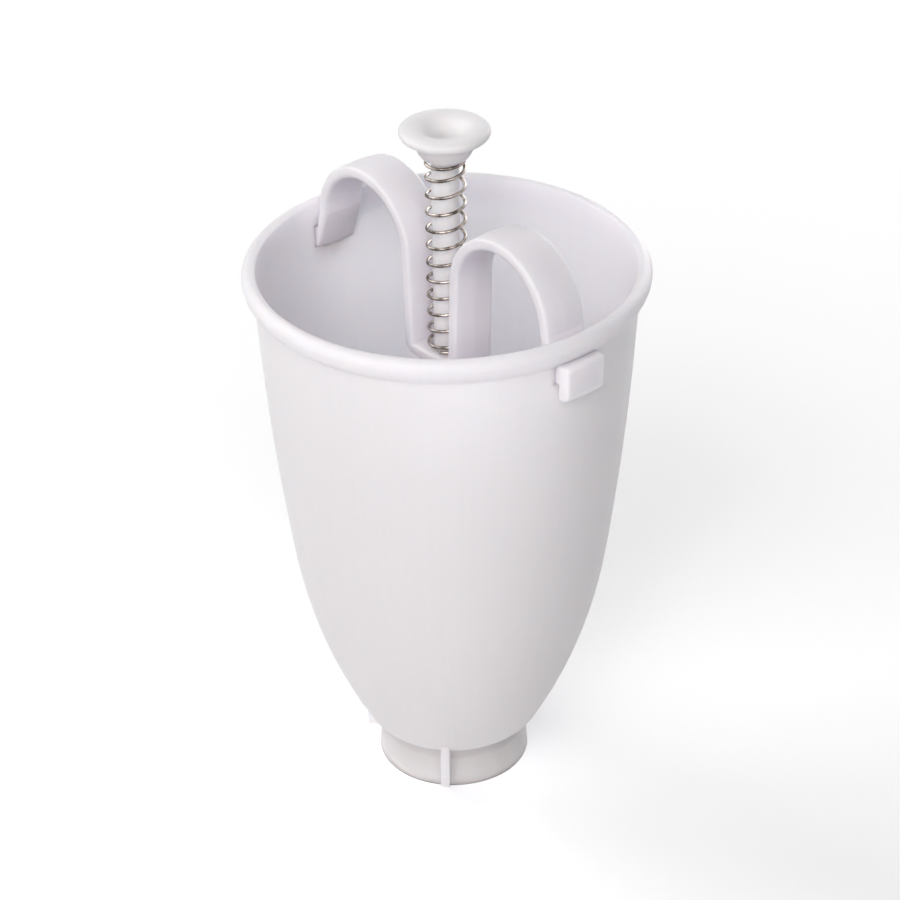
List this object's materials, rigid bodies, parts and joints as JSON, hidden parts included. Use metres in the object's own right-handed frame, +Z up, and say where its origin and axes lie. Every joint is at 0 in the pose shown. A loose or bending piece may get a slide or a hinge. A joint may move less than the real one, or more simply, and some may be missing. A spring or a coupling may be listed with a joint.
{
  "type": "batter dispenser",
  "caption": "Hand-held dispenser for ring-shaped batter: egg-shaped white cup with a rolled rim and outlet collar, a strap with finger arches, and a spring-return plunger with a thumb knob.",
  "frame": {"origin": "centre of the outlet collar's bottom face, which is also the bottom centre of the bounding box", "axes": "+Z up along the plunger, from the outlet to the thumb knob; +X along the handle strap, through its two finger arches; +Y completes the right-handed set"},
  "size_m": [0.107, 0.105, 0.1912],
  "materials": {
    "white_plastic": "satin",
    "spring_steel": "drawn wire"
  },
  "bodies": {
    "base": {"cup": "white_plastic", "handle_bracket": "white_plastic", "return_spring": "spring_steel"},
    "plunger": {"thumb_knob": "white_plastic", "plunger_rod": "white_plastic", "valve_disc": "white_plastic"}
  },
  "joints": [
    {"name": "plunger_stroke", "type": "slide", "parent": "base", "child": "plunger", "axis": [0, 0, -1], "range_m": [0, 0.024], "stiffness_N_per_m": 500, "springref_m": -0.003, "deforming": ["return_spring"]}
  ]
}
